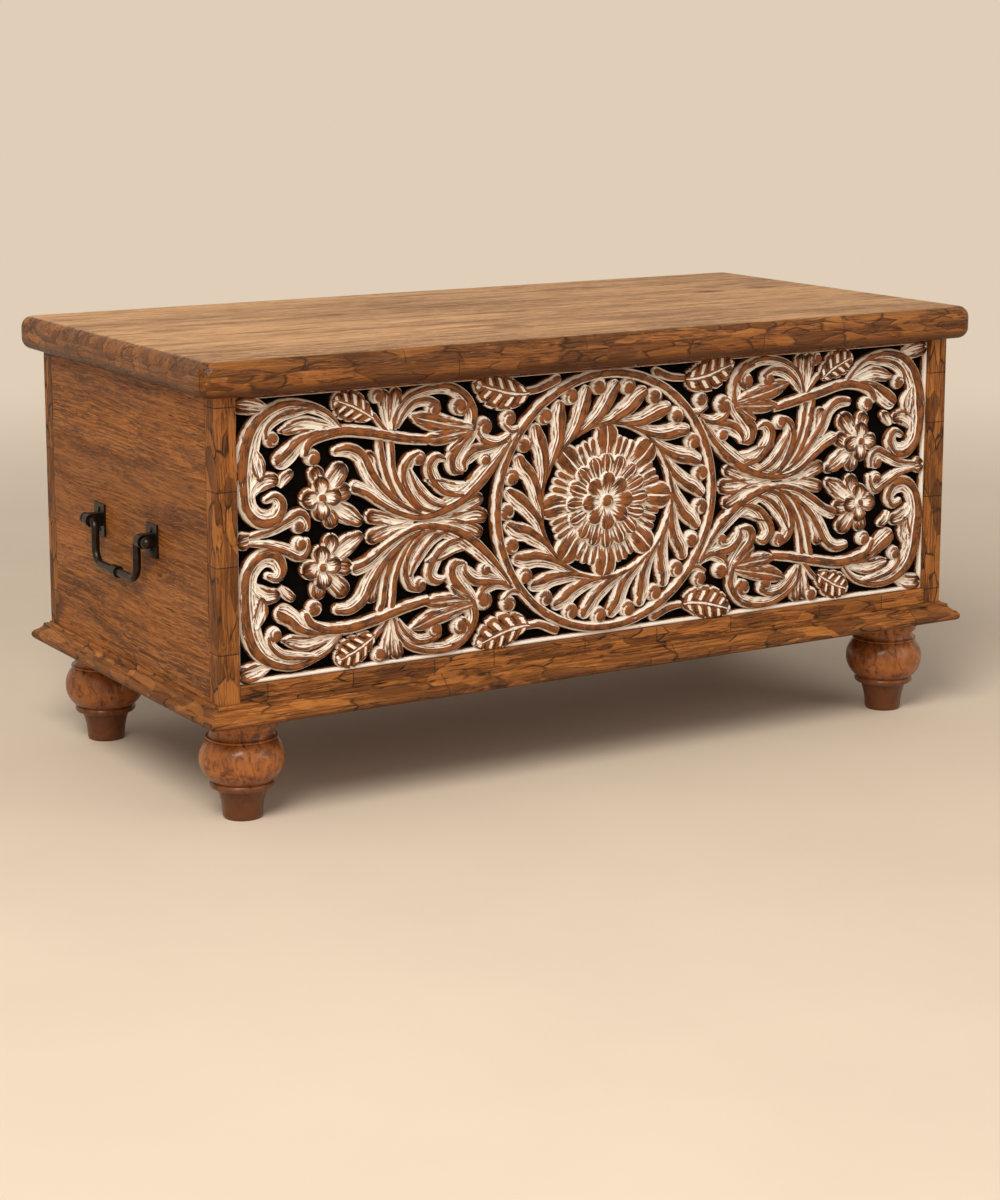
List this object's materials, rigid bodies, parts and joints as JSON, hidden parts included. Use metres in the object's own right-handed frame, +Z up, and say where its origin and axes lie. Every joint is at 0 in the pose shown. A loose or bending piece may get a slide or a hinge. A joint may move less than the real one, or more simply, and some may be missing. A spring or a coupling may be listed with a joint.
{
  "type": "carved storage trunk",
  "caption": "Low wooden storage trunk with a hinged plank lid, a pierced and carved front panel, plank ends with iron drop handles, a base moulding and turned feet.",
  "frame": {"origin": "on the floor under the middle of the trunk", "axes": "+X along the length to the right, +Y to the back with the hinges, +Z up"},
  "size_m": [1, 0.5, 0.4934],
  "materials": {
    "lid_wood": "waxed matte",
    "body_wood": "waxed satin",
    "foot_wood": "polished",
    "carved_wood": "whitewashed and rubbed back",
    "backing": "matte black",
    "iron": "blackened",
    "hinge_metal": "dull"
  },
  "bodies": {
    "chest": {"back_base_moulding": "body_wood", "back_board_lower": "body_wood", "back_board_middle": "body_wood", "back_board_upper": "body_wood", "back_floor_cleat": "body_wood", "back_left_foot": "foot_wood", "back_left_post": "body_wood", "back_right_foot": "foot_wood", "back_right_post": "body_wood", "back_top_rail": "body_wood", "carved_front_panel": "carved_wood", "floor_panel": "body_wood", "foot_blocks": "body_wood", "foot_bolts": "hinge_metal", "front_backing_board": "backing", "front_base_moulding": "body_wood", "front_bottom_rail": "body_wood", "front_floor_cleat": "body_wood", "front_left_foot": "foot_wood", "front_left_post": "body_wood", "front_right_foot": "foot_wood", "front_right_post": "body_wood", "front_top_rail": "body_wood", "hinge_fixed_screws": "hinge_metal", "left_base_moulding": "body_wood", "left_handle_plate_back": "iron", "left_handle_plate_front": "iron", "left_handle_screws": "iron", "left_hinge_fixed_leaf": "hinge_metal", "left_hinge_pin": "hinge_metal", "left_side_board_bottom": "body_wood", "left_side_board_lower": "body_wood", "left_side_board_top": "body_wood", "left_side_board_upper": "body_wood", "right_base_moulding": "body_wood", "right_handle_plate_back": "iron", "right_handle_plate_front": "iron", "right_handle_screws": "iron", "right_hinge_fixed_leaf": "hinge_metal", "right_hinge_pin": "hinge_metal", "right_side_board_bottom": "body_wood", "right_side_board_lower": "body_wood", "right_side_board_top": "body_wood", "right_side_board_upper": "body_wood"},
    "lid": {"hinge_lid_screws": "hinge_metal", "left_hinge_lid_leaf": "hinge_metal", "lid_batten_left": "lid_wood", "lid_batten_right": "lid_wood", "lid_plank_back": "lid_wood", "lid_plank_front": "lid_wood", "lid_plank_middle": "lid_wood", "lid_rim_back": "lid_wood", "lid_rim_front": "lid_wood", "lid_rim_left": "lid_wood", "lid_rim_right": "lid_wood", "right_hinge_lid_leaf": "hinge_metal"},
    "left_handle": {"left_handle_bail": "iron"},
    "right_handle": {"right_handle_bail": "iron"}
  },
  "joints": [
    {"name": "lid_hinge", "type": "hinge", "parent": "chest", "child": "lid", "pos_m": [0, 0.233, 0.4552], "axis": [-1, 0, 0], "range_deg": [0, 105]},
    {"name": "left_handle_swing", "type": "hinge", "parent": "chest", "child": "left_handle", "pos_m": [-0.4915, 0, 0.283], "axis": [0, 1, 0], "range_deg": [-6, 180]},
    {"name": "right_handle_swing", "type": "hinge", "parent": "chest", "child": "right_handle", "pos_m": [0.4915, 0, 0.283], "axis": [0, -1, 0], "range_deg": [-6, 180]}
  ]
}
